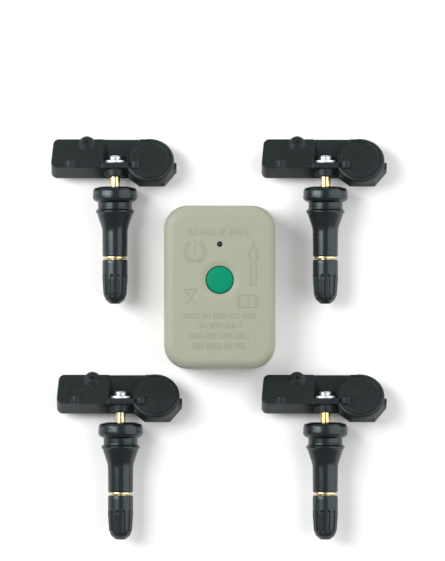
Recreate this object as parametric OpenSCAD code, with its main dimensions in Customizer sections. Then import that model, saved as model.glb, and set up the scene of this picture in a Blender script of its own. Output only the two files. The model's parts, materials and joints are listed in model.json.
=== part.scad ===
// Tyre pressure monitoring kit, in millimetres: four snap-in wheel sensors laid on a table
// round the hand tool that wakes them. The table is z = 0, the tool lies in the middle with
// its arrow towards +Y, and the origin is the middle of the tool's back.
// Each sensor has its own frame: the origin is on the valve's axis at the inner face of the
// rubber flange, the sensor body lies towards +Y and the valve cap towards -Y.

/* [Tool case] */
// Width of the tool
tool_w = 51.6; // [50:0.1:64]
// Length of the tool
tool_l = 75.8; // [74:0.1:95]
// Thickness of the tool
tool_h = 27; // [26.6:0.1:34]
// Corner radius of the tool's outline
tool_corner = 11; // [9.5:0.5:14]
// Radius of the rounded front edge
tool_edge = 4.5; // [2.5:0.5:6]
// Wall of the case
tool_wall = 2; // [1.6:0.1:2.2]
// Floor of the back shell
tool_floor = 2.4; // [2.4:0.1:3.5]
// Height of the joint between the two shells
tool_split = 13; // [9:0.5:16]

/* [Button and lamp] */
// Diameter of the green button
button_d = 12.7; // [10:0.1:16]
// Distance of the button ahead of the tool's middle
button_y = 3.3; // [-2:0.1:8]
// Gap round the button
button_gap = 0.35; // [0.3:0.05:0.6]
// How far the button travels
button_travel = 0.6; // [0.4:0.1:0.8]
// How far the button's crown stands above the case
button_proud = 0.3; // [0:0.1:0.6]
// Diameter of the dished area round the button
dish_d = 18.4; // [17.5:0.1:22]
// Depth of the dished area
dish_depth = 0.7; // [0.4:0.1:1]
// Diameter of the lamp hole
lamp_d = 2.6; // [2:0.1:3.4]
// Distance of the lamp ahead of the tool's middle
lamp_y = 19.9; // [17:0.1:21]

/* [Tool battery and door] */
// Length of the block battery
block_l = 48.5; // [46:0.1:49]
// Width of the block battery
block_w = 26.5; // [25.5:0.1:26.5]
// Thickness of the block battery
block_t = 17.5; // [16.5:0.1:17.5]
// Width of the sliding door's tongues
door_w = 32; // [30:0.5:34]
// Length of the sliding door
door_l = 46; // [40:1:50]
// Clearance round the door
door_gap = 0.3; // [0.3:0.05:0.5]

/* [Sensor body] */
// Reach of the sensor body to the left of the valve axis
body_left = 29.8; // [27.5:0.1:36]
// Depth of the sensor body's face, front to back
body_d = 15.25; // [15:0.05:18.5]
// Thickness of the sensor body
body_t = 10.5; // [10.5:0.1:12.8]
// Corner radius of the body's left end
body_corner = 2.75; // [1.5:0.25:4]
// Lean of the body's face from level
lean = 28; // [24:0.5:30]
// Front edge of the face, measured from the flange
face_y = 9.2; // [9:0.1:10]
// Front edge of the face, above the valve axis
face_z = 5.1; // [4.8:0.1:5.6]
// Radius of the round battery end
drum_r = 11.44; // [11:0.02:13.8]
// Space between the valve axis and the battery end's side
drum_gap = 4.66; // [4.46:0.1:6]
// How far the battery end stands ahead of the face's front edge
drum_ahead = 6.89; // [6:0.01:7]
// Radius of the battery lid
lid_r = 9.8; // [9.4:0.1:10]
// Thickness of the battery lid
lid_t = 1.5; // [1.2:0.1:1.8]
// Diameter of the coin cell
cell_d = 16; // [15:0.1:16]
// Thickness of the coin cell
cell_t = 3.2; // [2:0.1:3.2]
// Thickness of the sensor's circuit board
board_t = 0.8; // [0.6:0.1:0.8]

/* [Sensor fixing] */
// Front of the bulkhead that the valve is screwed to
bulkhead_y = 8.95; // [8.5:0.05:9.5]
// Thickness of the bulkhead
bulkhead_t = 2.6; // [2.2:0.1:3]
// Diameter of the collar round the valve's inner end
collar_d = 9.3; // [8:0.1:10]
// Length of the collar
collar_l = 3.95; // [3:0.05:5]
// Diameter of the washer
washer_d = 9.7; // [8.5:0.1:9.8]
// Thickness of the washer
washer_t = 1.1; // [0.8:0.1:1.2]
// Diameter of the clamp screw's head
screw_head_d = 6.1; // [5.5:0.1:6.5]
// Height of the clamp screw's head
screw_head_h = 2.3; // [2:0.1:2.6]
// Diameter of the clamp screw
screw_d = 3; // [2.5:0.1:3.2]

/* [Valve] */
// Radius of the rubber flange
flange_r = 10.4; // [9.5:0.1:12.5]
// Radius of the rubber neck that sits in the rim hole
neck_r = 7.7; // [7:0.1:8.2]
// Radius of the bulge that snaps through the rim hole
bulge_r = 8.8; // [8.4:0.1:9.4]
// Radius of the rubber shank
shank_r = 5.9; // [5.5:0.1:6.4]
// Length of the rubber, flange to brass ring
rubber_l = 32.1; // [30:0.1:39]
// Diameter of the brass stem where it is bare
brass_d = 4.9; // [4.7:0.1:5.4]
// Radius of the brass ring under the cap
ring_r = 5.4; // [4.8:0.1:5.6]
// Width of the brass ring
ring_l = 1.2; // [0.8:0.1:1.6]
// Outer diameter of the valve thread
thread_d = 7.7; // [7.5:0.1:7.8]
// Length of the valve thread
thread_l = 9.5; // [9:0.1:12]
// Radius of the valve cap
cap_r = 5.85; // [5.6:0.05:6.4]
// Length of the valve cap
cap_l = 20.6; // [18:0.1:25]
// Gap between cap and brass ring
cap_gap = 0.3; // [0.3:0.05:0.6]
// Grip flutes round the cap
flutes = 12; // [6:1:16]

/* [Layout] */
// Space from the door's path to the upper left sensor
gap_upper_left = 4.1; // [1:0.1:12]
// Space from the door's path to the upper right sensor
gap_upper_right = 3.4; // [1:0.1:12]
// Space from the door's path to the lower left sensor
gap_lower_left = 1.5; // [1:0.1:12]
// Space from the door's path to the lower right sensor
gap_lower_right = 3.35; // [1:0.1:12]
// From the tool's upper end to the upper sensors' flanges
gap_upper = 8.6; // [4:0.1:20]
// From the tool's lower end to the lower sensors' bodies
gap_lower = 2; // [1.5:0.1:20]

/* [Hidden] */
SENSOR_PARTS = ["housing", "battery_lid", "coin_cell", "circuit_board", "clamp_screw", "washer",
    "brass_stem", "rubber_stem", "valve_core", "valve_pin", "cap_seal", "valve_cap"];
TOOL_PARTS = ["front_shell", "back_shell", "green_button", "lamp_lens", "circuit_board", "tact_switch",
    "antenna_coil", "ferrite_rod", "block_battery", "battery_snap", "battery_door", "case_screws"];
$fn = 64;
slip = 0.05;       // clearance of pieces that are seated in one another
clear = 0.3;       // clearance of pieces that move past one another
over = 1;          // how far a cutting shape runs past a surface
rest_gap = 0.1;    // height of the sensors' lowest points above the table

// ---- tool, worked out ----
inner_w = tool_w - 2 * tool_wall;
inner_l = tool_l - 2 * tool_wall;
inner_corner = tool_corner - tool_wall;
block_z = tool_floor + 0.4;
block_y = -inner_l / 2 + 5.9;                    // lower end of the block battery
snap_t = 4;
board_z = block_z + block_t + 0.1;
tool_board_t = 1;
board_top = board_z + tool_board_t;
button_r = button_d / 2;
button_flange_t = 0.7;
switch_h = 1.5;
post_r = 3;
post_x = tool_w / 2 - 6.6;
post_y = tool_l / 2 - 6.6;
case_screw_r = 1.25;
case_head_r = 2.5;
case_head_t = 1.4;
case_head_z = 0.6;
case_screw_tip = tool_split + 6;
rod_r = 2.6;
coil_r = 3.7;
rod_l = 26;
rod_y = post_y - 0.5;
rod_z = 12;
door_end_y = -tool_l / 2 + door_gap;
door_lip_z = 1.2;                                // top of the shell's lips under the tongues
door_narrow_w = door_w - 3;
dish_r = (pow(dish_d / 2, 2) + pow(dish_depth, 2)) / (2 * dish_depth);

// ---- sensor, worked out ----
drum_x = drum_gap + drum_r;                      // battery end's centre
drum_in = drum_r - drum_ahead;
drum_back = drum_in + drum_r;
foot_trim = 1.3;                                 // flat that the body's lowest edge rests on
body_low = drum_back * sin(lean) + body_t * cos(lean) - face_z;
axis_z = max(flange_r, body_low - foot_trim) + rest_gap;
sensor_floor = rest_gap - axis_z;
tier_z = -5.5;                                   // top of the broad base under the drum
step_reach = drum_r + 1.11;                      // base's furthest reach, from the drum's centre
body_right = drum_x + step_reach;
front_flat = drum_r - 2.44;                      // base's flat front, from the drum's centre
shoulder_h = 1.5;
pocket_l = -5.4;
lid_rim = 0.6;                                   // wall left round the lid beside the pocket
pocket_r = drum_x - lid_r - 0.5;
pocket_end = drum_x - 4.4;                       // how far the pocket follows the lid's rim
pocket_floor = -screw_head_d / 2 - 0.55;
back_y = face_y + body_d * cos(lean);            // back edge of the face
back_z = face_z - body_d * sin(lean);
seat_y = bulkhead_y + bulkhead_t;
board_bottom = -body_t + 1;
board_lid = board_bottom + board_t + 0.2;        // roof of the slot that holds the board
cell_z = board_lid + 0.2;
body_wall = 1.6;
chamber_r = cell_d / 2 + 0.6;
port_x = -13.1;
port_y = body_d - 2.3;
port_r = 3.7;
port_h = 2.1;
peg_r = 2.45;
peg_x = -20.8;
peg_z = face_z - 1.6;
lid_peg_r = 2.32;
lid_peg_x = drum_x - 6.6;
lid_peg_in = drum_in - 5;                        // front of the lid's peg, behind the face's front edge
lid_peg_y = face_y + lid_peg_in * cos(lean);
lid_peg_z = face_z - 1.31 - lid_peg_in * sin(lean);
lid_peg_l = 3.4;
peg_root = -1.1;                                 // pegs stop this deep under the face

// ---- valve, worked out (y along the valve's axis, 0 at the flange's inner face) ----
brass_r = brass_d / 2;
core_tube_r = 3;
core_r = 2.3;
core_l = 18.5;
air_r = 1.2;
cross_hole_r = 0.75;
cross_hole_y = 2.4;
screw_tip = 4.6;
ring_y = -rubber_l - ring_l;
stem_end = ring_y - thread_l;
pin_r = 0.6;
cap_top = ring_y - cap_gap;
cap_end = cap_top - cap_l;
cap_bore_r = thread_d / 2 + clear;
seal_t = 1;
seal_y = stem_end - clear;
cap_bore_end = seal_y - seal_t - clear;

// ---- where the four sensors lie ----
lane = door_w / 2;
upper_y = tool_l / 2 + gap_upper;
lower_y = -(tool_l / 2 + gap_lower + face_y + drum_back * cos(lean));
PLACES = [[-(lane + gap_upper_left + body_right), upper_y], [lane + gap_upper_right + body_left, upper_y],
    [-(lane + gap_lower_left + body_right), lower_y], [lane + gap_lower_right + body_left, lower_y]];

// ================= shapes used by several parts =================

// points of a case side, [inset, height], with a rounded front edge
function case_side(z0, z1, edge, inset) = concat([[inset, z0]],
    [for (i = [0:8]) let(a = i * 11.25) [inset + edge * (1 - cos(a)), z1 - edge + edge * sin(a)]]);

// a block with a rounded outline whose sides follow the given points
module case_block(w, l, r, side) {
    z0 = side[0][1];
    z1 = side[len(side) - 1][1];
    half = function (reach) concat([[0, z0]], [for (p = side) [reach - p[0], p[1]]], [[0, z1]]);
    whole = function (reach) concat([for (p = side) [reach - p[0], p[1]]],
        [for (i = [len(side) - 1:-1:0]) [side[i][0] - reach, side[i][1]]]);
    for (q = [0:3], sx = q == 0 || q == 3 ? 1 : -1, sy = q < 2 ? 1 : -1)
        translate([sx * (w / 2 - r), sy * (l / 2 - r), 0]) rotate(q * 90)
            rotate_extrude(angle = 90) polygon(half(r));
    translate([0, l / 2 - r, 0]) rotate([90, 0, 0])
        linear_extrude(l - 2 * r) polygon(whole(w / 2));
    translate([-(w / 2 - r), 0, 0]) rotate([90, 0, 90])
        linear_extrude(w - 2 * r) polygon(whole(l / 2));
}

module at_posts() for (sx = [-1, 1], sy = [-1, 1]) translate([sx * post_x, sy * post_y, 0]) children();

// turns +Z to the valve's axis, +Y
module along_valve() rotate([-90, 0, 0]) children();

// a revolved solid on the valve's axis from points [radius, y]
module turned(points) along_valve() rotate_extrude() polygon(points);

// the leaning frame of a sensor's body: face at z = 0, front edge at y = 0
module on_body() translate([0, face_y, face_z]) rotate([-lean, 0, 0]) children();

// ================= tool =================

module tool_front_shell() color([0.70, 0.71, 0.63]) {
    difference() {
        case_block(tool_w, tool_l, tool_corner, case_side(tool_split, tool_h, tool_edge, 0));
        difference() {
            case_block(inner_w, inner_l, inner_corner,
                case_side(tool_split - over, tool_h - tool_wall, tool_edge - tool_wall, 0));
            at_posts() cylinder(r = post_r, h = tool_h);
            translate([0, button_y, board_top + clear])
                cylinder(r = button_r + 2.6, h = tool_h);
        }
        translate([0, button_y, board_top]) cylinder(r = button_r + 1.6, h = tool_h - tool_wall - board_top);
        translate([0, button_y, 0]) cylinder(r = button_r + button_gap, h = tool_h + over);
        translate([0, button_y, tool_h - dish_depth + dish_r]) sphere(r = dish_r, $fn = 128);
        translate([0, lamp_y, 0]) cylinder(d = lamp_d, h = tool_h + over);
        at_posts() cylinder(r = case_screw_r + slip, h = case_screw_tip + over);
        // step that the back shell's rim locates in
        translate([0, 0, -over])
            case_block(tool_w - tool_wall, tool_l - tool_wall, tool_corner - tool_wall / 2,
            [[0, tool_split], [0, tool_split + over + 1]]);
    }
}

module tool_back_shell() color([0.67, 0.68, 0.60]) {
    rim = tool_wall / 2 + slip;
    difference() {
        union() {
            case_block(tool_w, tool_l, tool_corner,
                [[1.2, 0], [0.4, 0.4], [0, 1.2], [0, tool_split - slip]]);
            case_block(tool_w - 2 * rim, tool_l - 2 * rim, tool_corner - rim,
                [[0, tool_split - over], [0, tool_split + 0.95]]);
        }
        difference() {
            case_block(inner_w, inner_l, inner_corner, [[0, tool_floor], [0, tool_h]]);
            at_posts() cylinder(r = post_r, h = tool_split - slip);
        }
        at_posts() {
            translate([0, 0, -over]) cylinder(r = case_screw_r + 0.15, h = tool_h);
            translate([0, 0, -over]) cylinder(r = case_head_r + 0.15, h = over + case_head_z + case_head_t);
            translate([0, 0, tool_split - slip]) cylinder(r = post_r + slip, h = 2);
        }
        // the door's way in: narrow between the lips, wide above them for the tongues
        translate([-door_narrow_w / 2 - door_gap, -tool_l / 2 - over, -over])
            cube([door_narrow_w + 2 * door_gap, door_l + over + 2 * door_gap, tool_floor + 2 * over]);
        translate([-door_w / 2 - door_gap, -tool_l / 2 - over, door_lip_z])
            cube([door_w + 2 * door_gap, door_l + over + 2 * door_gap, tool_floor - door_lip_z + over]);
    }
}

module tool_green_button() color([0.09, 0.63, 0.46]) translate([0, button_y, 0]) {
    flange_z = tool_h - tool_wall - clear - button_flange_t;
    crown = tool_h + button_proud;
    rotate_extrude() polygon([[0, board_top + switch_h + button_travel + clear],
        [1.8, board_top + switch_h + button_travel + clear], [1.8, flange_z],
        [button_r + 1.2, flange_z], [button_r + 1.2, flange_z + button_flange_t],
        [button_r, flange_z + button_flange_t], [button_r, crown - 0.9],
        [button_r - 0.25, crown - 0.45], [button_r - 1, crown - 0.15],
        [button_r * 0.5, crown], [0, crown]]);
}

module tool_lamp_lens() color([0.10, 0.11, 0.11]) translate([0, lamp_y, 0]) {
    translate([0, 0, board_top]) cylinder(d = lamp_d + 1.2, h = tool_h - tool_wall - board_top - slip);
    cylinder_h = tool_h - 0.4;
    translate([0, 0, tool_h - tool_wall - slip])
        cylinder(d = lamp_d - 2 * slip, h = cylinder_h - tool_h + tool_wall);
}

module tool_circuit_board() color([0.05, 0.32, 0.16]) difference() {
    translate([0, 0, board_z]) case_block(inner_w - 0.8, inner_l - 0.8, inner_corner - 0.4,
        [[0, 0], [0, tool_board_t]]);
    at_posts() cylinder(r = post_r + clear, h = tool_h);
}

module tool_tact_switch() color([0.16, 0.16, 0.17]) translate([0, button_y, board_top]) {
    translate([-3, -3, 0]) cube([6, 6, switch_h - 0.5]);
    cylinder(r = 1.6, h = switch_h);
}

module tool_antenna_coil() color([0.72, 0.38, 0.18]) translate([0, rod_y, rod_z]) rotate([0, 90, 0])
    difference() {
        cylinder(r = coil_r, h = rod_l * 0.6, center = true);
        cylinder(r = rod_r + slip, h = rod_l, center = true);
    }

module tool_ferrite_rod() color([0.23, 0.23, 0.24]) translate([0, rod_y, rod_z]) rotate([0, 90, 0])
    cylinder(r = rod_r, h = rod_l, center = true);

module tool_block_battery() color([0.20, 0.22, 0.25]) {
    translate([-block_w / 2, block_y, block_z]) cube([block_w, block_l - 2.5, block_t]);
    for (s = [-1, 1]) translate([s * 6.35, block_y + block_l - 2.5, block_z + block_t / 2])
        rotate([-90, 0, 0]) cylinder(r = s > 0 ? 2.9 : 4, h = 2.5);
}

module tool_battery_snap() color([0.12, 0.12, 0.12])
    translate([0, block_y + block_l, block_z + block_t / 2]) difference() {
        translate([-block_w / 2 + 0.5, 0, -block_t / 2 + 3]) cube([block_w - 1, snap_t, block_t - 6]);
        for (s = [-1, 1]) translate([s * 6.35, snap_t, 0]) rotate([90, 0, 0]) cylinder(r = 1.4, h = 1);
    }

module tool_battery_door() color([0.66, 0.67, 0.59]) {
    difference() {
        union() {
            translate([-door_narrow_w / 2, door_end_y, door_gap])
                cube([door_narrow_w, door_l, tool_floor - 0.1 - door_gap]);
            translate([-door_w / 2, door_end_y + 1.2, door_lip_z + door_gap])
                cube([door_w, door_l - 1.2, tool_floor - 0.1 - door_lip_z - door_gap]);
        }
        for (i = [0:5]) translate([-8, door_end_y + 5 + 1.8 * i, 0]) cube([16, 0.9, door_gap + 0.4]);
    }
}

module tool_case_screws() color([0.62, 0.62, 0.64]) at_posts() difference() {
    union() {
        translate([0, 0, case_head_z]) cylinder(r = case_head_r, h = case_head_t);
        translate([0, 0, case_head_z + case_head_t])
            cylinder(r = case_screw_r, h = case_screw_tip - case_head_z - case_head_t);
    }
    for (a = [0, 90]) rotate(a) translate([-1.5, -0.35, 0]) cube([3, 0.7, case_head_z + 0.8]);
}

// ================= sensor =================

// outline of the body's long left part
module block_outline() {
    c = body_corner;
    translate([c - body_left, 0]) square([body_left - c + drum_x, body_d]);
    translate([-body_left, c]) square([c + 0.1, body_d - 2 * c]);
    for (y = [c, body_d - c]) translate([c - body_left, y]) circle(r = c);
}

// outline of the broad base under the battery end: round behind, cut to flats in front
module base_outline() {
    intersection() {
        circle(r = drum_r);
        polygon([[-drum_r, drum_r], [drum_r, drum_r], [drum_r, 0], [front_flat - 2, -front_flat],
            [2.2 - drum_r * 0.61, -front_flat], [-drum_r * 0.85, -front_flat * 0.54], [-drum_r, -2]]);
    }
    polygon([[drum_r * 0.6, 0.95], [step_reach, 0.95], [step_reach, -1.6], [front_flat - 2, -front_flat],
        [0, -front_flat]]);
}

module drum_solid() {
    shoulder = [for (i = [0:5]) let(a = i * 18)
        [lid_r + 0.15 + (drum_r - lid_r - 0.15) * cos(a), -shoulder_h + shoulder_h * sin(a)]];
    translate([drum_x, drum_in, 0]) {
        rotate_extrude() polygon(concat([[0, tier_z], [drum_r, tier_z]], shoulder, [[0, 0]]));
        translate([0, 0, -body_t]) linear_extrude(body_t + tier_z) base_outline();
    }
}

// a stub parallel to the valve that rises out of the leaning face
module peg(x, z, r, y0, y1) intersection() {
    translate([x, y0, z]) along_valve() cylinder(r = r, h = y1 - y0);
    on_body() translate([x - 5, -9, peg_root]) cube([10, 24, 9]);
}

module pressure_port() {
    dome = [for (i = [0:6]) let(a = i * 15) [0.5 + (port_r - 0.85) * cos(a), 0.8 + (port_h - 0.8) * sin(a)]];
    translate([port_x, port_y, 0]) rotate_extrude()
        polygon(concat([[0, -3], [port_r, -3], [port_r, 0.5], [port_r - 0.35, 0.8]], dome, [[0, port_h]]));
}

// room behind the bulkhead for the screw and its driver: its floor rises to the face's back
// edge, and its right side follows the lid
module driver_pocket() difference() {
    translate([pocket_l, 0, 0]) rotate([90, 0, 90]) linear_extrude(pocket_end - pocket_l)
        polygon([[seat_y, pocket_floor], [back_y, back_z - 0.3], [back_y + 8, back_z - 0.3],
            [back_y + 8, 30], [seat_y, 30]]);
    on_body() translate([drum_x, drum_in, -30]) cylinder(r = lid_r + lid_rim, h = 60);
}

module housing() color([0.07, 0.08, 0.09]) difference() {
    union() {
        difference() {
            on_body() {
                translate([0, 0, -body_t]) linear_extrude(body_t) block_outline();
                drum_solid();
            }
            driver_pocket();
        }
        on_body() pressure_port();
        translate([pocket_l - 0.5, bulkhead_y, pocket_floor - 1])
            cube([pocket_r - pocket_l + 1, bulkhead_t, face_z + 0.1 - pocket_floor + 1]);
        turned([[0, bulkhead_y - collar_l], [collar_d / 2 - 0.3, bulkhead_y - collar_l],
            [collar_d / 2, bulkhead_y - collar_l + 0.3], [collar_d / 2, bulkhead_y + 0.5],
                [0, bulkhead_y + 0.5]]);
        peg(peg_x, peg_z, peg_r, face_y - 0.1, face_y + 3.4);
    }
    // chamber for the coin cell, and the lid's seat over it
    on_body() translate([drum_x, drum_in, board_bottom - 0.1]) cylinder(r = chamber_r, h = body_t + over);
    on_body() translate([drum_x, drum_in, -lid_t - slip]) cylinder(r = lid_r + slip, h = lid_t + over);
    // chamber for the electronics and the slot that leads the board to the coin cell
    on_body() translate([-body_left + 2.2, body_wall, board_bottom - 0.1])
        cube([body_left - 2.2 + pocket_l - body_wall, body_d - body_wall - 1.45, -board_bottom - body_wall]);
    on_body() translate([-body_left + 2.2, body_wall, board_bottom - 0.1])
        cube([body_left - 2.2 + drum_x - 7, body_d - body_wall - 1.85, board_lid - board_bottom + 0.1]);
    on_body() translate([port_x, port_y, -body_wall - 1]) cylinder(r = 0.5, h = port_h + 4, $fn = 32);
    // room for the washer, the screw's hole and the valve's socket
    turned([[0, seat_y], [washer_d / 2 + clear, seat_y], [washer_d / 2 + clear, seat_y + washer_t + 0.15],
        [0, seat_y + washer_t + 0.15]]);
    turned([[0, 0], [brass_r + slip, 0], [brass_r + slip, bulkhead_y], [screw_d / 2 + 0.15, bulkhead_y],
        [screw_d / 2 + 0.15, seat_y + over], [0, seat_y + over]]);
    translate([-60, -20, sensor_floor - 30]) cube([120, 60, 30]);
}

module battery_lid() color([0.08, 0.09, 0.10]) {
    on_body() translate([drum_x, drum_in, 0]) rotate_extrude()
        polygon([[0, -lid_t], [chamber_r - 1.3, -lid_t], [chamber_r - 1.3, -lid_t - 1.4],
            [chamber_r - 0.1, -lid_t - 1.4],
            [chamber_r - 0.1, -lid_t], [lid_r, -lid_t], [lid_r, -0.15], [lid_r - 0.15, 0], [0, 0]]);
    intersection() {
        peg(lid_peg_x, lid_peg_z, lid_peg_r, lid_peg_y, lid_peg_y + lid_peg_l);
        on_body() {
            translate([drum_x, drum_in, peg_root]) cylinder(r = lid_r, h = 9);
            translate([0, -9, slip]) cube([drum_x, 24, 9]);
        }
    }
}

module coin_cell() color([0.72, 0.72, 0.70]) on_body() translate([drum_x, drum_in, cell_z])
    rotate_extrude() polygon([[0, 0], [cell_d / 2 - 1.2, 0], [cell_d / 2 - 1, 0.4], [cell_d / 2, 0.6],
        [cell_d / 2, cell_t], [0, cell_t]]);

module circuit_board() color([0.05, 0.30, 0.16]) on_body() {
    translate([-body_left + 2.5, body_wall + 0.2, board_bottom])
        cube([body_left - 2.5 + drum_x - 7.2, body_d - body_wall - 2.3, board_t]);
    translate([drum_x, drum_in, board_bottom]) cylinder(r = chamber_r - 0.3, h = board_t);
    // transmitter chip, pressure sensor under the port, and the coil that hears the tool
    translate([-25.5, 4, board_bottom + board_t]) cube([5, 5, 1.2]);
    translate([port_x - 2.5, port_y - 4.6, board_bottom + board_t]) cube([5, 4.4, 2]);
    translate([-17.5, 2.4, board_bottom + board_t]) cube([8, 3, 2.4]);
}

module clamp_screw() color([0.80, 0.81, 0.83]) difference() {
    head_y = seat_y + washer_t;
    r = screw_head_d / 2;
    turned([[0, screw_tip], [screw_d / 2 - 0.4, screw_tip], [screw_d / 2, screw_tip + 0.5],
        [screw_d / 2, head_y],
        [r, head_y], [r, head_y + screw_head_h * 0.55], [r * 0.85, head_y + screw_head_h * 0.85],
        [r * 0.6, head_y + screw_head_h], [0, head_y + screw_head_h]]);
    // six-lobed socket
    for (a = [0:60:120]) translate([0, head_y + screw_head_h + over, 0]) rotate([90, a, 0])
        translate([-1.35, -0.4, 0]) cube([2.7, 0.8, 1.5 + over]);
}

module washer() color([0.86, 0.87, 0.88]) turned([[screw_d / 2 + 0.1, seat_y], [washer_d / 2, seat_y],
    [washer_d / 2, seat_y + washer_t], [screw_d / 2 + 0.1, seat_y + washer_t]]);

module brass_stem() color([0.78, 0.62, 0.28]) difference() {
    turned([[0, bulkhead_y], [brass_r, bulkhead_y], [brass_r, -1], [core_tube_r, -1],
        [core_tube_r, -rubber_l],
        [ring_r, -rubber_l], [ring_r, ring_y], [thread_d / 2, ring_y], [thread_d / 2, stem_end + 0.5],
        [thread_d / 2 - 0.5, stem_end], [0, stem_end]]);
    // seat of the valve core, air way, and the screw's hole in the inner end
    turned([[0, stem_end - over], [core_r + slip, stem_end - over], [core_r + slip, stem_end + core_l],
        [air_r, stem_end + core_l + 1], [air_r, cross_hole_y + 0.8], [0, cross_hole_y + 0.8]]);
    turned([[0, screw_tip - 0.2], [screw_d / 2 + slip, screw_tip - 0.2],
        [screw_d / 2 + slip, bulkhead_y + over],
        [0, bulkhead_y + over]]);
    translate([0, cross_hole_y, 0]) rotate([0, 90, 0]) cylinder(r = cross_hole_r, h = 8, center = true);
}

module rubber_stem() color([0.06, 0.07, 0.07]) {
    shank_end = shank_r - 0.3;
    turned([[brass_r, 0], [flange_r - 1.2, 0], [flange_r - 0.4, -0.4], [flange_r - 0.05, -1.3],
        [flange_r, -4.8],
        [flange_r - 0.5, -5.7], [flange_r - 1.5, -6.3], [neck_r, -6.7], [neck_r, -9.3],
        [bulge_r - 0.3, -10], [bulge_r, -10.7], [bulge_r - 0.1, -11.3], [(bulge_r + shank_r) / 2, -14.8],
        [shank_r + 0.35, -17.8], [shank_r, -19.8], [shank_end, -rubber_l], [core_tube_r, -rubber_l],
        [core_tube_r, -1], [brass_r, -1]]);
}

module valve_core() color([0.74, 0.60, 0.32]) turned([[pin_r + 0.1, stem_end + 2.4], [1.5, stem_end + 2.4],
    [1.5, stem_end + 0.8], [core_r, stem_end + 0.8], [core_r, stem_end + 7], [core_r - 0.4, stem_end + 7.6],
    [core_r - 0.4, stem_end + 9], [core_r, stem_end + 9.6], [core_r, stem_end + 11], [1.5, stem_end + 11.6],
    [1.5, stem_end + core_l - 1], [pin_r + 0.1, stem_end + core_l - 1]]);

module valve_pin() color([0.80, 0.70, 0.42]) turned([[0, stem_end + 0.2], [pin_r, stem_end + 0.2],
    [pin_r, stem_end + core_l + 0.4], [0, stem_end + core_l + 0.4]]);

module cap_seal() color([0.55, 0.12, 0.10]) turned([[0, seal_y], [cap_bore_r - clear, seal_y],
    [cap_bore_r - clear, seal_y - seal_t], [0, seal_y - seal_t]]);

module valve_cap() color([0.08, 0.09, 0.09]) difference() {
    tip = cap_end;
    turned([[cap_bore_r, cap_top], [cap_r - 0.4, cap_top], [cap_r, cap_top - 0.4], [cap_r, cap_top - 7],
        [cap_r - 0.3, tip + 8], [cap_r - 0.7, tip + 4.4], [cap_r - 1.5, tip + 2.1], [cap_r - 2.7, tip + 0.7],
        [cap_r - 4.2, tip], [0, tip], [0, cap_bore_end], [cap_bore_r, cap_bore_end]]);
    for (i = [0:flutes - 1]) rotate([0, i * 360 / flutes, 0]) translate([0, tip + 4.6, cap_r])
        rotate([-90, 0, 0]) cylinder(r = 0.5, h = cap_l - 11.4, $fn = 24);
}

module sensor_part(name) {
    if (name == "housing") housing();
    if (name == "battery_lid") battery_lid();
    if (name == "coin_cell") coin_cell();
    if (name == "circuit_board") circuit_board();
    if (name == "clamp_screw") clamp_screw();
    if (name == "washer") washer();
    if (name == "brass_stem") brass_stem();
    if (name == "rubber_stem") rubber_stem();
    if (name == "valve_core") valve_core();
    if (name == "valve_pin") valve_pin();
    if (name == "cap_seal") cap_seal();
    if (name == "valve_cap") valve_cap();
}

tool_front_shell();
tool_back_shell();
tool_green_button();
tool_lamp_lens();
tool_circuit_board();
tool_tact_switch();
tool_antenna_coil();
tool_ferrite_rod();
tool_block_battery();
tool_battery_snap();
tool_battery_door();
tool_case_screws();
for (n = [1:4], p = SENSOR_PARTS) translate([PLACES[n - 1][0], PLACES[n - 1][1], axis_z]) sensor_part(p);
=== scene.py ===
# %% [markdown]
# # A tyre pressure monitoring kit
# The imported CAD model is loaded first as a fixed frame: it says where every piece is and
# what moves. The pieces that are looked at are then made again with the soft edges, grain
# and polish of the real ones, and each rides on the CAD body it belongs to.

# %% Load the frame and note its box
import json
import math

import bmesh
import bpy
from mathutils import Matrix, Vector


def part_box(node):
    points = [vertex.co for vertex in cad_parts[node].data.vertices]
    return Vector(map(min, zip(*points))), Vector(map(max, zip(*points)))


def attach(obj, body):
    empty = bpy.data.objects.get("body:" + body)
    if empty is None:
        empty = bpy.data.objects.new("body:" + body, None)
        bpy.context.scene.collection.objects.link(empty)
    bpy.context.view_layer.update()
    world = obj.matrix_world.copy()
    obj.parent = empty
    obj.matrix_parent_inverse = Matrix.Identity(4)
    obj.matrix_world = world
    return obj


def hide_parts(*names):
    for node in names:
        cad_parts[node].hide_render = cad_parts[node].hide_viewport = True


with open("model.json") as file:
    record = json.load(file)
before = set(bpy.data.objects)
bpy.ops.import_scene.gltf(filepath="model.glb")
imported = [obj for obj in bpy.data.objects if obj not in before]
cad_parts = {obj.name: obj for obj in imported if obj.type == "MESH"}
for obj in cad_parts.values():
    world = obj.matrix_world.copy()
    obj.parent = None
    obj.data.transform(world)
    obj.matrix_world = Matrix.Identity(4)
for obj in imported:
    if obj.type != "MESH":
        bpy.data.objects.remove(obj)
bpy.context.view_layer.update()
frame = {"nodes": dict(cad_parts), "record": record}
MM = 0.001
SENSORS = ["sensor1", "sensor2", "sensor3", "sensor4"]

# %% [markdown]
# Each sensor has its own frame: the origin is on the valve's axis at the inner face of the
# rubber flange, the body lies towards +Y and the cap towards -Y. The frame's boxes give that
# origin, so a sensor's pieces are made once, in millimetres about the origin, and copied.

# %% Where the sensors and the tool are
def sensor_origin(name):
    low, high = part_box(name + "_rubber_stem")
    return Vector(((low.x + high.x) / 2, high.y, (low.z + high.z) / 2))


def size_mm(node):
    low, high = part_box(node)
    return (high - low) / MM


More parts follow.
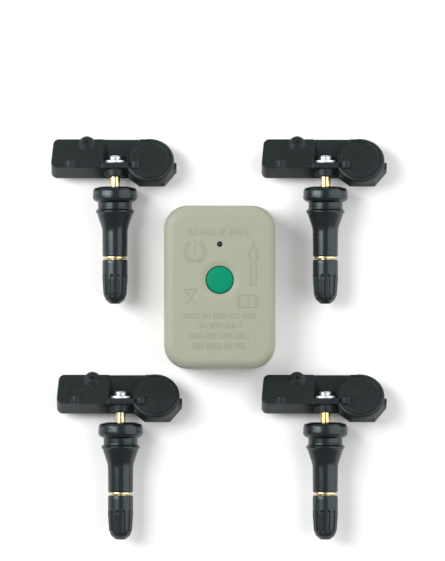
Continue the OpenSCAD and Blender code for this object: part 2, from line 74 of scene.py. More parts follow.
ORIGINS = {name: sensor_origin(name) for name in SENSORS}
tool_size = size_mm("tool_front_shell")
tool_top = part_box("tool_front_shell")[1].z / MM
tool_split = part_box("tool_front_shell")[0].z / MM
button_low, button_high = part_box("tool_green_button")
button_y = (button_low.y + button_high.y) / 2 / MM
lamp_low, lamp_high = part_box("tool_lamp_lens")
lamp_y = (lamp_low.y + lamp_high.y) / 2 / MM
print("tool, mm:", [round(v, 1) for v in tool_size], "button at y", round(button_y, 2))

# %% [markdown]
# ## Camera, floor and light
# The floor is plain and pale. A strip light from the upper left draws the long highlight on
# the rubber stems. A broad, softer one opens the right-hand side.

# %% Camera
VIEW_HEIGHT = 261.9 * MM
LOOK_AT = Vector((1.3, 3.3, 0)) * MM
CAMERA_DISTANCE = 4.0
CAMERA_ELEVATION = math.radians(89.4)
camera_data = bpy.data.cameras.new("camera")
camera_data.sensor_width = 36
camera_data.lens = camera_data.sensor_width * CAMERA_DISTANCE / VIEW_HEIGHT
camera = bpy.data.objects.new("camera", camera_data)
bpy.context.scene.collection.objects.link(camera)
to_camera = Vector((0, -math.cos(CAMERA_ELEVATION), math.sin(CAMERA_ELEVATION)))
camera.location = LOOK_AT + to_camera * CAMERA_DISTANCE
camera.rotation_mode = "QUATERNION"
camera.rotation_quaternion = (-to_camera).to_track_quat("-Z", "Y")
camera_data.clip_end = 20
bpy.context.scene.camera = camera
print("lens, mm:", round(camera_data.lens))

# %% Lights, sky and floor
def area_light(name, place, watts, width, height):
    data = bpy.data.lights.new(name, "AREA")
    data.shape = "RECTANGLE"
    data.size = width
    data.size_y = height
    data.energy = watts
    lamp = bpy.data.objects.new(name, data)
    bpy.context.scene.collection.objects.link(lamp)
    lamp.location = place
    lamp.rotation_mode = "QUATERNION"
    lamp.rotation_quaternion = (-Vector(place)).to_track_quat("-Z", "Y")
    return lamp


area_light("key_light", (-0.7, 0.25, 0.72), 12.5, 0.55, 0.9)
area_light("fill_light", (1.0, 0.25, 0.7), 18, 1.7, 1.7)
world = bpy.data.worlds.new("pale_room")
world.use_nodes = True
world.node_tree.nodes["Background"].inputs["Color"].default_value = (1, 1, 1, 1)
world.node_tree.nodes["Background"].inputs["Strength"].default_value = 0.37
bpy.context.scene.world = world
bpy.context.scene.view_settings.view_transform = "Standard"
bpy.ops.mesh.primitive_plane_add(size=30, location=(0, 0, 0))
floor = bpy.context.object
floor.name = "floor"

# %% [markdown]
# ## Materials
# Every finish is made of nodes that read Object coordinates, so its grain stays the same size
# on every piece. Moulded plastic is a base colour with a slow, faint change of tone, a fine
# grain in the bump, and a roughness that varies a little. Two noises of different size keep
# it from looking printed.

# %% A moulded or rubber surface
def moulded(name, colour, roughness, grain=0.35, depth=0.02, tone=0.25, fleck=0.0, specular=0.5,
            gloss=(1, 1, 1)):
    material = bpy.data.materials.new(name)
    material.use_nodes = True
    nodes, links = material.node_tree.nodes, material.node_tree.links
    shader = nodes["Principled BSDF"]
    shader.inputs["Specular IOR Level"].default_value = specular
    shader.inputs["Specular Tint"].default_value = (*gloss, 1)
    place = nodes.new("ShaderNodeTexCoord").outputs["Object"]

    def noise(size_mm, detail):
        node = nodes.new("ShaderNodeTexNoise")
        node.inputs["Scale"].default_value = 1 / (size_mm * MM)
        node.inputs["Detail"].default_value = detail
        links.new(place, node.inputs["Vector"])
        return node.outputs["Fac"]

    def spread(source, low, high):
        node = nodes.new("ShaderNodeMapRange")
        node.inputs["From Min"].default_value = 0.3
        node.inputs["From Max"].default_value = 0.7
        node.inputs["To Min"].default_value = low
        node.inputs["To Max"].default_value = high
        links.new(source, node.inputs["Value"])
        return node.outputs["Result"]

    slow, fine = noise(9, 3), noise(grain, 2)
    mix = nodes.new("ShaderNodeMix")
    mix.data_type = "RGBA"
    mix.inputs["A"].default_value = (*[c * (1 - tone) for c in colour], 1)
    mix.inputs["B"].default_value = (*[c * (1 + tone) for c in colour], 1)
    links.new(spread(slow, 0.25, 0.75), mix.inputs["Factor"])
    tint = mix.outputs["Result"]
    if fleck:
        flecks = nodes.new("ShaderNodeMix")
        flecks.data_type = "RGBA"
        flecks.inputs["B"].default_value = (*[min(1, c * 4 + 0.03) for c in colour], 1)
        links.new(spread(noise(grain * 1.6, 4), -fleck, fleck), flecks.inputs["Factor"])
        links.new(tint, flecks.inputs["A"])
        tint = flecks.outputs["Result"]
    links.new(tint, shader.inputs["Base Color"])
    links.new(spread(fine, roughness - 0.06, roughness + 0.06), shader.inputs["Roughness"])
    bump = nodes.new("ShaderNodeBump")
    bump.inputs["Strength"].default_value = 0.8
    bump.inputs["Distance"].default_value = depth * MM
    links.new(fine, bump.inputs["Height"])
    links.new(bump.outputs["Normal"], shader.inputs["Normal"])
    return material


# %% [markdown]
# Turned metal has its tool marks running round the axis it was turned on. A wave texture along
# that axis gives them, bent a little by noise so that no two rings are alike.

# %% A turned or plated metal
def metal(name, colour, roughness, ring_mm=0.12, ring_depth=0.004, axis="Y"):
    material = bpy.data.materials.new(name)
    material.use_nodes = True
    nodes, links = material.node_tree.nodes, material.node_tree.links
    shader = nodes["Principled BSDF"]
    shader.inputs["Metallic"].default_value = 1
    place = nodes.new("ShaderNodeTexCoord").outputs["Object"]
    wave = nodes.new("ShaderNodeTexWave")
    wave.bands_direction = axis
    wave.inputs["Scale"].default_value = 0.3 / (ring_mm * MM)
    wave.inputs["Distortion"].default_value = 1.5
    wave.inputs["Detail"].default_value = 3
    links.new(place, wave.inputs["Vector"])
    stain = nodes.new("ShaderNodeTexNoise")
    stain.inputs["Scale"].default_value = 1 / (2.5 * MM)
    stain.inputs["Detail"].default_value = 4
    links.new(place, stain.inputs["Vector"])
    mix = nodes.new("ShaderNodeMix")
    mix.data_type = "RGBA"
    mix.inputs["A"].default_value = (*[c * 0.86 for c in colour], 1)
    mix.inputs["B"].default_value = (*colour, 1)
    links.new(stain.outputs["Fac"], mix.inputs["Factor"])
    links.new(mix.outputs["Result"], shader.inputs["Base Color"])
    rough = nodes.new("ShaderNodeMapRange")
    rough.inputs["To Min"].default_value = roughness * 0.7
    rough.inputs["To Max"].default_value = roughness * 1.4
    links.new(stain.outputs["Fac"], rough.inputs["Value"])
    links.new(rough.outputs["Result"], shader.inputs["Roughness"])
    bump = nodes.new("ShaderNodeBump")
    bump.inputs["Strength"].default_value = 0.6
    bump.inputs["Distance"].default_value = ring_depth * MM
    links.new(wave.outputs["Fac"], bump.inputs["Height"])
    links.new(bump.outputs["Normal"], shader.inputs["Normal"])
    return material


# %% The finishes of this kit, by the record's slot names
COOL = (0.8, 0.95, 1.0)
FINISH = {
    "case_plastic": moulded("beige_case", (0.285, 0.296, 0.228), 0.5, grain=0.45, depth=0.03, tone=0.015,
                            specular=0.3),
    "button_plastic": moulded("green_button", (0.001, 0.205, 0.108), 0.5, grain=0.4, depth=0.02,
                              tone=0.02, specular=0.08),
    "lamp_lens": moulded("smoked_lens", (0.012, 0.013, 0.013), 0.15, depth=0.004, tone=0.1),
    "circuit_board": moulded("solder_mask", (0.010, 0.09, 0.03), 0.3, depth=0.01),
    "switch_plastic": moulded("switch_black", (0.02, 0.02, 0.02), 0.45),
    "copper_wire": metal("enamelled_copper", (0.72, 0.27, 0.12), 0.25),
    "ferrite": moulded("sintered_ferrite", (0.035, 0.035, 0.04), 0.6, grain=0.2, depth=0.03),
    "battery_can": moulded("painted_can", (0.05, 0.065, 0.085), 0.35, grain=1.2, depth=0.01),
    "sensor_plastic": moulded("filled_nylon", (0.0088, 0.0118, 0.0115), 0.42, grain=0.3, depth=0.04,
                              tone=0.3, fleck=0.24, specular=0.26, gloss=COOL),
    "valve_rubber": moulded("valve_rubber", (0.005, 0.0068, 0.0076), 0.27, grain=0.45, depth=0.015, tone=0.25,
                            specular=0.5, gloss=COOL),
    "cap_plastic": moulded("cap_plastic", (0.006, 0.0082, 0.009), 0.3, grain=0.4, depth=0.01, tone=0.2,
                           specular=0.5, gloss=COOL),
    "brass": metal("turned_brass", (0.82, 0.66, 0.34), 0.24),
    "core_brass": metal("core_brass", (0.80, 0.62, 0.28), 0.28),
    "seal_rubber": moulded("seal_rubber", (0.26, 0.02, 0.02), 0.5),
    "cell_steel": metal("nickel_plate", (0.62, 0.62, 0.60), 0.25, axis="Z"),
    "screw_steel": metal("zinc_plate", (0.60, 0.66, 0.68), 0.34),
    "washer_steel": metal("bright_plate", (0.74, 0.78, 0.80), 0.5),
}
floor_finish = moulded("floor_paper", (0.92, 0.92, 0.92), 0.9, grain=2, depth=0.002, tone=0.004, specular=0.1)
floor.data.materials.append(floor_finish)
print("finishes:", len(FINISH))

# %% [markdown]
# ## Tools for making pieces
# Most of these pieces were turned on a lathe or moulded round an axis, so the main helper
# spins an outline. `rounded` puts an arc at each corner of an outline that asks for one,
# because a real edge always catches a line of light.

# %% Outlines with rounded corners
def rounded(points, steps=5, closed=False):
    """points are (across, along) or (across, along, radius of the corner)."""
    made = []
    for i, point in enumerate(points):
        here = Vector(point[:2])
        inside = closed or 0 < i < len(points) - 1
        if len(point) < 3 or not inside:
            made.append(tuple(here))
            continue
        back = Vector(points[i - 1][:2]) - here
        ahead = Vector(points[(i + 1) % len(points)][:2]) - here
        half = back.angle(ahead) / 2
        reach = min(point[2] / math.tan(half), 0.49 * back.length, 0.49 * ahead.length)
        radius = reach * math.tan(half)
        centre = here + (back.normalized() + ahead.normalized()).normalized() * radius / math.sin(half)
        first = here + back.normalized() * reach - centre
        last = here + ahead.normalized() * reach - centre
        turn = math.atan2(first.x * last.y - first.y * last.x, first.dot(last))
        for k in range(steps + 1):
            c, s = math.cos(turn * k / steps), math.sin(turn * k / steps)
            made.append((centre.x + first.x * c - first.y * s, centre.y + first.x * s + first.y * c))
    return made


# %% Meshes from outlines, in millimetres
SHARP_EDGE = math.radians(35)


def piece_from(name, bm):
    bmesh.ops.remove_doubles(bm, verts=bm.verts, dist=0.0005)
    bmesh.ops.recalc_face_normals(bm, faces=bm.faces)
    mesh = bpy.data.meshes.new(name)
    bm.to_mesh(mesh)
    bm.free()
    mesh.transform(Matrix.Scale(MM, 4))
    mesh.shade_smooth()
    mesh.set_sharp_from_angle(angle=SHARP_EDGE)
    piece = bpy.data.objects.new(name, mesh)
    bpy.context.scene.collection.objects.link(piece)
    return piece


def skin(bm, rings, closed=False):
    """Joins rings of points by faces; a ring of one point is a pole."""
    pairs = list(zip(rings, rings[1:] + rings[:1] if closed else rings[1:]))
    for a, b in pairs:
        for i in range(max(len(a), len(b))):
            j = (i + 1) % max(len(a), len(b))
            corners = [a[i % len(a)], a[j % len(a)], b[j % len(b)], b[i % len(b)]]
            corners = [c for k, c in enumerate(corners) if c not in corners[:k]]
            if len(corners) > 2:
                bm.faces.new(corners)


def turned(name, outline, steps=96, closed=False):
    """Spins (radius, y) points round the Y axis."""
    bm = bmesh.new()
    rings = []
    for radius, y in outline:
        count = 1 if radius < 1e-6 else steps
        turns = [2 * math.pi * k / steps for k in range(count)]
        rings.append([bm.verts.new((radius * math.sin(t), y, radius * math.cos(t))) for t in turns])
    skin(bm, rings, closed)
    return piece_from(name, bm)


def extruded(name, outline, low, high):
    """A prism on an (x, y) outline."""
    bm = bmesh.new()
    rings = [[bm.verts.new((x, y, z)) for x, y in outline] for z in (low, high)]
    skin(bm, rings)
    for ring in rings:
        bm.faces.new(ring)
    return piece_from(name, bm)


def block(name, low, high):
    return extruded(name, [(low[0], low[1]), (high[0], low[1]), (high[0], high[1]), (low[0], high[1])],
                    low[2], high[2])


# %% Making modifiers real, joining and cutting
def settle(piece):
    """The piece keeps the mesh that its modifiers make of it, and loses the modifiers."""
    graph = bpy.context.evaluated_depsgraph_get()
    mesh = bpy.data.meshes.new_from_object(piece.evaluated_get(graph))
    piece.modifiers.clear()
    piece.data = mesh
    return piece


def combine(piece, others, operation):
    """UNION joins the others on, DIFFERENCE cuts them away; they are used up."""
    for other in others:
        change = piece.modifiers.new(operation, "BOOLEAN")
        change.operation = operation
        change.solver = "MANIFOLD"
        change.object = other
        settle(piece)
        bpy.data.objects.remove(other)
    return piece


def sharpen(piece):
    """Smooth shading, except across edges that turn sharply."""
    piece.data.shade_smooth()
    piece.data.set_sharp_from_angle(angle=SHARP_EDGE)
    return piece


def finish_piece(piece, slot, body, *nodes):
    """Gives a piece its finish, its body, and the CAD nodes it stands for."""
    piece.data.materials.clear()
    piece.data.materials.append(FINISH[slot])
    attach(piece, body)
    if nodes:
        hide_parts(*nodes)
    return piece


def on_every_sensor(master, slot, body_tail="", *node_tails):
    """Copies a piece made about a sensor's origin to all four sensors."""
    for sensor in SENSORS:
        piece = bpy.data.objects.new(f"{sensor}_{master.name}", master.data.copy())
        piece.data.transform(Matrix.Translation(ORIGINS[sensor]))
        bpy.context.scene.collection.objects.link(piece)
        nodes = [f"{sensor}_{tail}" for tail in node_tails]
        finish_piece(piece, slot, sensor + body_tail, *nodes)
    count = len(master.data.polygons)
    bpy.data.objects.remove(master)
    print(piece.name[8:], "faces", count)


# %% [markdown]
# ## Geometry Nodes trees
# Two trees do the repeating. The first turns a drawn line into a raised round cord, which
# makes the moulded symbols, the thread and the coil's winding. The second lays copies of one
# small shape on a set of points, which makes the screws. Both end in Realize Instances and
# Set Material, so what they give is a plain mesh.

# %% A tree's frame: geometry in, named sizes, geometry out
def new_tree(name, sizes):
    tree = bpy.data.node_groups.new(name, "GeometryNodeTree")
    tree.interface.new_socket("Geometry", in_out="INPUT", socket_type="NodeSocketGeometry")
    for label, kind in sizes:
        tree.interface.new_socket(label, in_out="INPUT", socket_type=kind)
    tree.interface.new_socket("Geometry", in_out="OUTPUT", socket_type="NodeSocketGeometry")
    return tree, tree.nodes.new("NodeGroupInput"), tree.nodes.new("NodeGroupOutput")


def end_tree(tree, shape, made_by, output):
    real = tree.nodes.new("GeometryNodeRealizeInstances")
    paint = tree.nodes.new("GeometryNodeSetMaterial")
    tree.links.new(shape, real.inputs["Geometry"])
    tree.links.new(real.outputs["Geometry"], paint.inputs["Geometry"])
    tree.links.new(made_by.outputs["Material"], paint.inputs["Material"])
    tree.links.new(paint.outputs["Geometry"], output.inputs["Geometry"])


def use_tree(piece, tree, **values):
    """Sets a tree's inputs by their sockets' identifiers, and makes its result a plain mesh."""
    change = piece.modifiers.new(tree.name, "NODES")
    change.node_group = tree
    names = {s.name.replace(" ", "_"): s.identifier for s in tree.interface.items_tree if s.in_out == "INPUT"}
    for label, value in values.items():
        change[names[label]] = value
    return settle(piece)


# %% The raised-line tree
line_tree, line_in, line_out = new_tree("raised_line", [
    ("Radius", "NodeSocketFloat"), ("Sides", "NodeSocketInt"), ("Material", "NodeSocketMaterial")])
to_curve = line_tree.nodes.new("GeometryNodeMeshToCurve")
round_wire = line_tree.nodes.new("GeometryNodeCurvePrimitiveCircle")
sweep = line_tree.nodes.new("GeometryNodeCurveToMesh")
sweep.inputs["Fill Caps"].default_value = True
line_tree.links.new(line_in.outputs["Geometry"], to_curve.inputs["Mesh"])
line_tree.links.new(line_in.outputs["Sides"], round_wire.inputs["Resolution"])
line_tree.links.new(line_in.outputs["Radius"], round_wire.inputs["Radius"])
line_tree.links.new(to_curve.outputs["Curve"], sweep.inputs["Curve"])
line_tree.links.new(round_wire.outputs["Curve"], sweep.inputs["Profile Curve"])
end_tree(line_tree, sweep.outputs["Mesh"], line_in, line_out)


def raised_lines(name, lines, radius, slot, sides=10):
    """lines are lists of (x, y, z) in millimetres; the first point again at the end closes one."""
    mesh = bpy.data.meshes.new(name)
    points, edges = [], []
    for line in lines:
        loop = (Vector(line[0]) - Vector(line[-1])).length < 1e-6
        first = len(points)
        points += [Vector(p) * MM for p in (line[:-1] if loop else line)]
        edges += [(k, k + 1) for k in range(first, len(points) - 1)]
        if loop:
            edges.append((len(points) - 1, first))
    mesh.from_pydata(points, edges, [])
    piece = bpy.data.objects.new(name, mesh)
    bpy.context.scene.collection.objects.link(piece)
    use_tree(piece, line_tree, Radius=radius * MM, Sides=sides, Material=FINISH[slot])
    piece.data.shade_smooth()
    return piece


# %% The copies-on-points tree
copy_tree, copy_in, copy_out = new_tree("copies_on_points", [
    ("Shape", "NodeSocketObject"), ("Material", "NodeSocketMaterial")])
fetch = copy_tree.nodes.new("GeometryNodeObjectInfo")
lay = copy_tree.nodes.new("GeometryNodeInstanceOnPoints")
copy_tree.links.new(copy_in.outputs["Shape"], fetch.inputs["Object"])
copy_tree.links.new(copy_in.outputs["Geometry"], lay.inputs["Points"])
copy_tree.links.new(fetch.outputs["Geometry"], lay.inputs["Instance"])
end_tree(copy_tree, lay.outputs["Instances"], copy_in, copy_out)


def copies(name, shape, points, slot):
    """Copies of a shape made about the origin, one on each point, in millimetres; uses it up."""
    mesh = bpy.data.meshes.new(name)
    mesh.from_pydata([Vector(p) * MM for p in points], [], [])
    piece = bpy.data.objects.new(name, mesh)
    bpy.context.scene.collection.objects.link(piece)
    use_tree(piece, copy_tree, Shape=shape, Material=FINISH[slot])
    bpy.data.objects.remove(shape)
    return piece


# %% [markdown]
# ## The rubber stem
# The stem is moulded round the brass: a thick flange that seals inside the rim, a neck that
# the rim hole squeezes, a bulge that snaps through, and a tapering shank. One outline, spun
# about the axis, has all of it. The faint rings on the neck are where the mould's halves met.

# %% Spin the rubber stem
flange_r = size_mm("sensor1_rubber_stem").x / 2
rubber_l = size_mm("sensor1_rubber_stem").y
ring_r = size_mm("sensor1_brass_stem").x / 2
NECK_R, LIP_R, SHANK_R, CORE_TUBE_R, BRASS_R = 7.9, 8.98, 5.95, 3.0, 2.45
rubber = turned("rubber", rounded([
    (BRASS_R, 0.45), (flange_r - 3.6, 0.4, 3), (flange_r - 0.7, -0.4, 1.0), (flange_r - 0.15, -1.7, 1.5),
    (flange_r - 0.1, -3.9, 0.1), (flange_r, -4.05, 0.1), (flange_r - 0.05, -5.0, 0.9),
    (flange_r - 0.7, -6.1, 0.8), (NECK_R + 0.4, -6.75, 0.4), (NECK_R, -7.0, 0.3),
    (NECK_R, -9.1, 0.1), (NECK_R - 0.14, -9.25, 0.1), (NECK_R, -9.45, 0.1), (NECK_R + 0.05, -9.9, 0.3),
    (LIP_R, -10.9, 0.35), (LIP_R - 0.05, -11.5, 0.35), (LIP_R - 0.75, -12.4, 0.5),
    (SHANK_R, -19.3, 10), (SHANK_R - 0.15, -rubber_l + 0.3, 0.3), (SHANK_R - 0.4, -rubber_l + 0.02, 0.1),
    (CORE_TUBE_R, -rubber_l + 0.02), (CORE_TUBE_R, -1), (BRASS_R, -1)], steps=6), steps=128, closed=True)
on_every_sensor(rubber, "valve_rubber", "", "rubber_stem")

# %% [markdown]
# ## The brass stem and its thread
# The brass shows in three places: the bare stub next to the sensor, the bright ring at the end
# of the rubber, and the thread under the cap. The thread is a real helix. Its ridge is a line
# wound at the standard pitch and swept with a small round section by the raised-line tree.

# %% Turn the brass and wind its thread
stem_end = (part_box("sensor1_brass_stem")[0].y - ORIGINS["sensor1"].y) / MM
bulkhead_y = (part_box("sensor1_brass_stem")[1].y - ORIGINS["sensor1"].y) / MM
RING_L, THREAD_R, THREAD_ROOT, PITCH, BORE_R = 1.2, 3.85, 3.4, 0.79375, 2.35
ring_y = -rubber_l - RING_L
brass = turned("brass", rounded([
    (1.55, bulkhead_y), (BRASS_R, bulkhead_y), (BRASS_R, -1), (CORE_TUBE_R, -1), (CORE_TUBE_R, -rubber_l),
    (ring_r, -rubber_l, 0.3), (ring_r, ring_y, 0.3), (THREAD_ROOT, ring_y), (THREAD_ROOT, stem_end, 0.4),
    (BORE_R, stem_end, 0.2), (BORE_R, stem_end + 18), (1.2, stem_end + 19.5), (1.2, 3.2),
    (1.55, 4.4)], steps=4), steps=96, closed=True)
on_every_sensor(brass, "brass", "", "brass_stem")
THREAD_START, THREAD_STOP, RIDGE_R, STEPS_A_TURN = stem_end + 0.9, ring_y - 0.7, 0.3, 36
helix_turns = (THREAD_STOP - THREAD_START) / PITCH
helix = []
wound_r = THREAD_R - RIDGE_R
for k in range(int(helix_turns * STEPS_A_TURN) + 1):
    angle = 2 * math.pi * k / STEPS_A_TURN
    along = THREAD_START + PITCH * k / STEPS_A_TURN
    helix.append((wound_r * math.sin(angle), along, wound_r * math.cos(angle)))
on_every_sensor(raised_lines("thread", [helix], RIDGE_R, "brass", sides=6), "brass")

# %% [markdown]
# ## The valve cap
# The cap is a long thimble with finger flutes. Its plain outline is spun first. A third tree
# then presses the flutes in: it moves each point towards the axis by a depth that depends only
# on the point's angle and its place along the cap, so the flutes' round ends come for nothing.

# %% The flute tree
OUTSIDE_FROM, FLAT_SHARE = 4.6, 0.45
flute_tree, flute_in, flute_out = new_tree("flutes", [
    ("Count", "NodeSocketFloat"), ("Depth", "NodeSocketFloat"), ("Start", "NodeSocketFloat"),
    ("Stop", "NodeSocketFloat"), ("Width", "NodeSocketFloat"), ("Material", "NodeSocketMaterial")])


def maths(tree, operation, *terms):
    node = tree.nodes.new("ShaderNodeMath")
    node.operation = operation
    for socket, term in zip(node.inputs, terms):
        if isinstance(term, (int, float)):
            socket.default_value = term
        else:
            tree.links.new(term, socket)
    return node.outputs[0]


def soft_step(tree, value, low, high):
    node = tree.nodes.new("ShaderNodeMapRange")
    node.interpolation_type = "SMOOTHSTEP"
    for socket, term in (("Value", value), ("From Min", low), ("From Max", high)):
        if isinstance(term, (int, float)):
            node.inputs[socket].default_value = term
        else:
            tree.links.new(term, node.inputs[socket])
    return node.outputs["Result"]


where = flute_tree.nodes.new("GeometryNodeInputPosition").outputs["Position"]
split = flute_tree.nodes.new("ShaderNodeSeparateXYZ")
flute_tree.links.new(where, split.inputs["Vector"])
radius_here = maths(flute_tree, "SQRT", maths(
    flute_tree, "ADD", maths(flute_tree, "MULTIPLY", split.outputs["X"], split.outputs["X"]),
    maths(flute_tree, "MULTIPLY", split.outputs["Z"], split.outputs["Z"])))
angle_here = maths(flute_tree, "ARCTAN2", split.outputs["X"], split.outputs["Z"])
turns_here = maths(flute_tree, "MULTIPLY", maths(flute_tree, "DIVIDE", angle_here, 2 * math.pi),
                   flute_in.outputs["Count"])
off_centre = maths(flute_tree, "WRAP", maths(flute_tree, "ADD", turns_here, 0.5), 0.5, -0.5)
arc_one = maths(flute_tree, "DIVIDE", maths(flute_tree, "MULTIPLY", radius_here, 2 * math.pi),
                flute_in.outputs["Count"])
sideways = maths(flute_tree, "MULTIPLY", off_centre, arc_one)
clamped = maths(flute_tree, "MAXIMUM", flute_in.outputs["Start"], maths(
    flute_tree, "MINIMUM", flute_in.outputs["Stop"], split.outputs["Y"]))
endways = maths(flute_tree, "SUBTRACT", split.outputs["Y"], clamped)
distance = maths(flute_tree, "SQRT", maths(
    flute_tree, "ADD", maths(flute_tree, "MULTIPLY", sideways, sideways),
    maths(flute_tree, "MULTIPLY", endways, endways)))
flat_part = maths(flute_tree, "MULTIPLY", flute_in.outputs["Width"], FLAT_SHARE)
groove = maths(flute_tree, "SUBTRACT", 1.0,
               soft_step(flute_tree, distance, flat_part, flute_in.outputs["Width"]))
outer_only = maths(flute_tree, "GREATER_THAN", radius_here, OUTSIDE_FROM * MM)
inward = maths(flute_tree, "MULTIPLY", maths(flute_tree, "MULTIPLY", groove, outer_only),
               maths(flute_tree, "DIVIDE", flute_in.outputs["Depth"], radius_here))
push = flute_tree.nodes.new("ShaderNodeCombineXYZ")
for axis in "XZ":
    flute_tree.links.new(maths(flute_tree, "MULTIPLY", split.outputs[axis],
                               maths(flute_tree, "MULTIPLY", inward, -1.0)), push.inputs[axis])
press = flute_tree.nodes.new("GeometryNodeSetPosition")
flute_tree.links.new(flute_in.outputs["Geometry"], press.inputs["Geometry"])
flute_tree.links.new(push.outputs["Vector"], press.inputs["Offset"])
end_tree(flute_tree, press.outputs["Geometry"], flute_in, flute_out)

# %% Spin the cap and press its flutes
cap_size = size_mm("sensor1_valve_cap")
cap_r = cap_size.x / 2
cap_top = (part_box("sensor1_valve_cap")[1].y - ORIGINS["sensor1"].y) / MM
cap_tip = cap_top - cap_size.y
CAP_BORE_R, CAP_BORE_L, POINT_GAP = 4.15, 10.9, 0.35
FLUTES, FLUTE_DEPTH, FLUTE_HALF_W = 12.0, 0.7, 0.95
FLUTE_LOW, FLUTE_HIGH = cap_tip + 4.4, cap_top - 7.9
outline = rounded([
    (CAP_BORE_R, cap_top - CAP_BORE_L), (CAP_BORE_R, cap_top, 0.3), (cap_r - 0.1, cap_top, 0.5),
    (cap_r + 0.05, cap_top - 1.6, 3), (cap_r, cap_top - 9, 12), (cap_r - 0.5, cap_tip + 4.4, 6),
    (cap_r - 1.4, cap_tip + 1.9, 2.5), (cap_r - 3.6, cap_tip, 1.5), (0, cap_tip)], steps=8)
dense = [outline[0]]
for a, b in zip(outline, outline[1:]):
    outside = min(a[0], b[0]) > OUTSIDE_FROM
    parts = max(1, round(math.dist(a, b) / POINT_GAP)) if outside else 1
    dense += [(a[0] + (b[0] - a[0]) * k / parts, a[1] + (b[1] - a[1]) * k / parts)
              for k in range(1, parts + 1)]
cap = turned("cap", dense + [(0, cap_top - CAP_BORE_L)], steps=240, closed=True)
use_tree(cap, flute_tree, Count=FLUTES, Depth=FLUTE_DEPTH * MM, Start=FLUTE_LOW * MM,
         Stop=FLUTE_HIGH * MM, Width=FLUTE_HALF_W * MM, Material=FINISH["cap_plastic"])
cap.data.shade_smooth()
on_every_sensor(cap, "cap_plastic", "_cap", "valve_cap")

# %% [markdown]
# ## The sensor's housing
# The housing is one moulding of glass-filled nylon. Its face leans back 28 degrees while the
# valve lies level. The solids are made plainly, joined and cut with booleans, and then remeshed
# into even small voxels and relaxed. That rounds every edge by a few tenths of a millimetre,
# inside corners too, as a mould does.

# %% The leaning frame and the outlines
LEAN, FACE_Y, FACE_Z = math.radians(28), 9.2, 5.1
DEPTH, THICK, LEFT = 15.25, 10.5, 29.93
DRUM = Vector((16.1, 4.55))
DRUM_R, LID_R, SEAT_T = 11.44, 9.8, 1.55
TIER = -5.5
lean = Matrix.Translation(Vector((0, FACE_Y, FACE_Z)) * MM) @ Matrix.Rotation(-LEAN, 4, "X")
upright = Matrix.Rotation(math.radians(90), 4, "X")


def leaning(piece, extra=Matrix.Identity(4)):
    piece.data.transform(lean @ extra)
    return piece


def drum_turned(name, outline, steps=128):
    """A solid spun about the battery end's own axis, (radius, height over the face)."""
    piece = turned(name, outline, steps)
    return leaning(piece, Matrix.Translation(Vector((DRUM.x, DRUM.y, 0)) * MM) @ upright)


base_flats = [(12.55, 0.95), (12.55, -1.6), (7.0, -9.0), (-4.8, -9.0), (-9.7, -4.9)]
back_arc = [(DRUM_R * math.cos(t), DRUM_R * math.sin(t)) for t in
            [math.radians(5 + 190 * k / 60) for k in range(61)]]
base_outline = [(DRUM.x + x, DRUM.y + y) for x, y in back_arc + base_flats[::-1]]
print("base outline points:", len(base_outline))

# %% Join the solids and cut the pockets
TAPER = 1.3
body_outline = rounded([(-LEFT, 0, 2.9), (DRUM.x, 0), (DRUM.x, DEPTH), (TAPER - LEFT, DEPTH, 2.8)],
                       closed=True, steps=10)
body = leaning(extruded("body", body_outline, -THICK, 0))
solids = [
    drum_turned("drum", rounded([
        (0, TIER), (DRUM_R, TIER), (DRUM_R, -0.9, 1.0), (LID_R + 0.35, 0, 0.5), (0, 0)])),
    leaning(extruded("base", base_outline, -THICK, TIER + 0.2))]
combine(body, solids, "UNION")
back_edge = lean @ (Vector((0, DEPTH, 0)) * MM) / MM
POCKET_LEFT, POCKET_RIGHT, POCKET_Z, BULKHEAD_Y, SEAT_Y = -5.4, DRUM.x - 4.4, -3.6, 8.95, 11.55
COLLAR_R, PEG_R, VENT_R, STEM_HOLE_R, SCREW_HOLE_R = 4.65, 2.45, 0.55, 2.6, 1.65
pocket = extruded("pocket", [(SEAT_Y, POCKET_Z), (back_edge.y, back_edge.z - 0.2),
                             (back_edge.y + 8, back_edge.z - 0.2), (back_edge.y + 8, 30), (SEAT_Y, 30)],
                  POCKET_LEFT, POCKET_RIGHT)
pocket.data.transform(Matrix(((0, 0, 1, 0), (1, 0, 0, 0), (0, 1, 0, 0), (0, 0, 0, 1))))
rim = drum_turned("rim", [(0, -25), (LID_R + 0.6, -25), (LID_R + 0.6, 25), (0, 25)])
combine(pocket, [rim], "DIFFERENCE")
combine(body, [pocket], "DIFFERENCE")
port = turned("port", rounded([(0, -3), (3.65, -3), (3.65, 0.6, 0.3), (3.25, 0.62, 0.1), (2.95, 1.0, 0.6),
                               (2.5, 1.6, 0.5), (0, 1.65)]), 64)
port_place = Matrix.Translation(Vector((-13.1, 12.95, 0)) * MM) @ upright
leaning(port, port_place)
collar = turned("collar", rounded([(0, 5), (COLLAR_R, 5, 0.35), (COLLAR_R, 9.5), (0, 9.5)]), 64)
bulkhead = block("bulkhead", (-5.9, BULKHEAD_Y, -4.6), (6.3, SEAT_Y, 5.25))
peg = turned("peg", rounded([(0, 9.0), (PEG_R, 9.0, 0.5), (PEG_R, 12.6, 0.5), (0, 12.6)]), 48)
peg.data.transform(Matrix.Translation(Vector((-20.8, 0, 3.5)) * MM))
combine(body, [port, collar, bulkhead, peg], "UNION")

